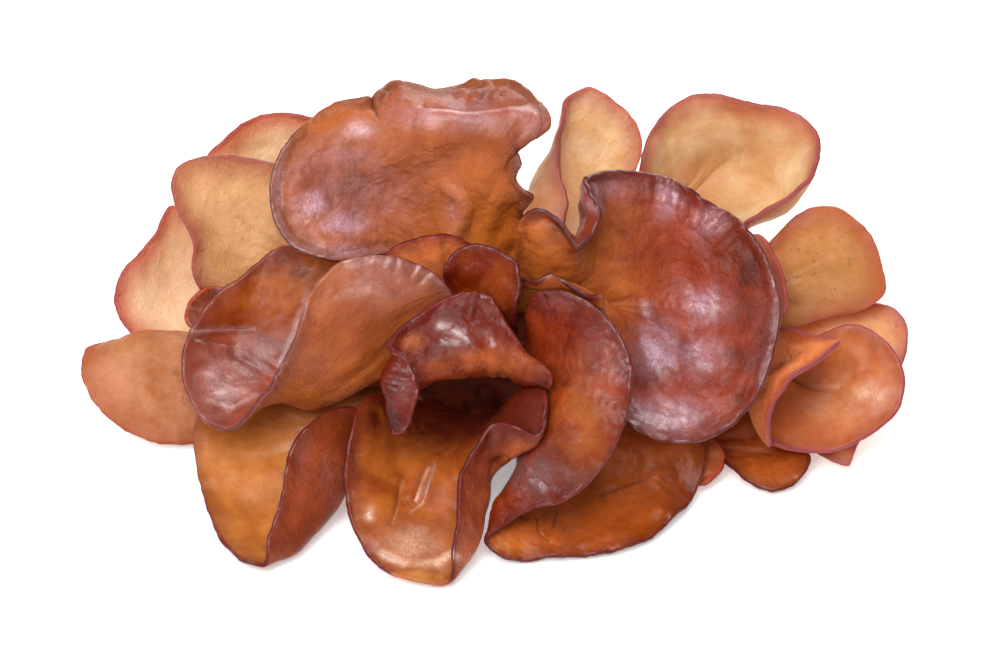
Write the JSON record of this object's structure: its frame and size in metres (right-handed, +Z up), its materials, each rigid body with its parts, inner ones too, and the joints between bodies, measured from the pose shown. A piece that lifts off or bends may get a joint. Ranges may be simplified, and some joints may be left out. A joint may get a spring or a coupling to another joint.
{
  "type": "wood ear mushroom",
  "caption": "Fresh wood ear mushroom cluster: thin cup- and ear-shaped jelly lobes spreading from a small common base that is cut off flat.",
  "frame": {"origin": "middle of the cluster's footprint, on the surface that it rests on", "axes": "+X to the right along the cluster's longest extent, +Y from the front ears to the back ones, +Z up"},
  "size_m": [0.1962, 0.1068, 0.0768],
  "materials": {
    "mahogany_flesh": "dark red-brown jelly flesh, wet gloss on the inner side, fine fuzz on the outer side",
    "chestnut_flesh": "reddish brown jelly flesh with a satin sheen and fine wrinkles",
    "amber_flesh": "translucent orange-amber jelly flesh with glossy streaks and a dark rim",
    "peach_flesh": "thin pale translucent jelly flesh, speckled, with a dark reddish rim",
    "base_tissue": "firm dark brown tissue, cut flat below"
  },
  "bodies": {
    "root": {"base": "base_tissue", "ear_back_left": "peach_flesh", "ear_back_right": "peach_flesh", "ear_back_spoon": "peach_flesh", "ear_far_left": "amber_flesh", "ear_front_left": "chestnut_flesh", "ear_front_right": "mahogany_flesh", "ear_front_tongue": "amber_flesh", "ear_hood": "mahogany_flesh", "ear_left_back": "peach_flesh", "ear_left_inner": "chestnut_flesh", "ear_left_upper": "peach_flesh", "ear_low_left": "amber_flesh", "ear_right_bottom": "amber_flesh", "ear_right_inner": "peach_flesh", "ear_right_lower": "amber_flesh", "ear_right_middle": "peach_flesh", "ear_right_upper": "peach_flesh", "ear_small_cup": "mahogany_flesh", "ear_small_left": "chestnut_flesh", "ear_small_right": "amber_flesh", "ear_upper_left": "chestnut_flesh", "ear_upper_right": "mahogany_flesh"}
  },
  "joints": []
}
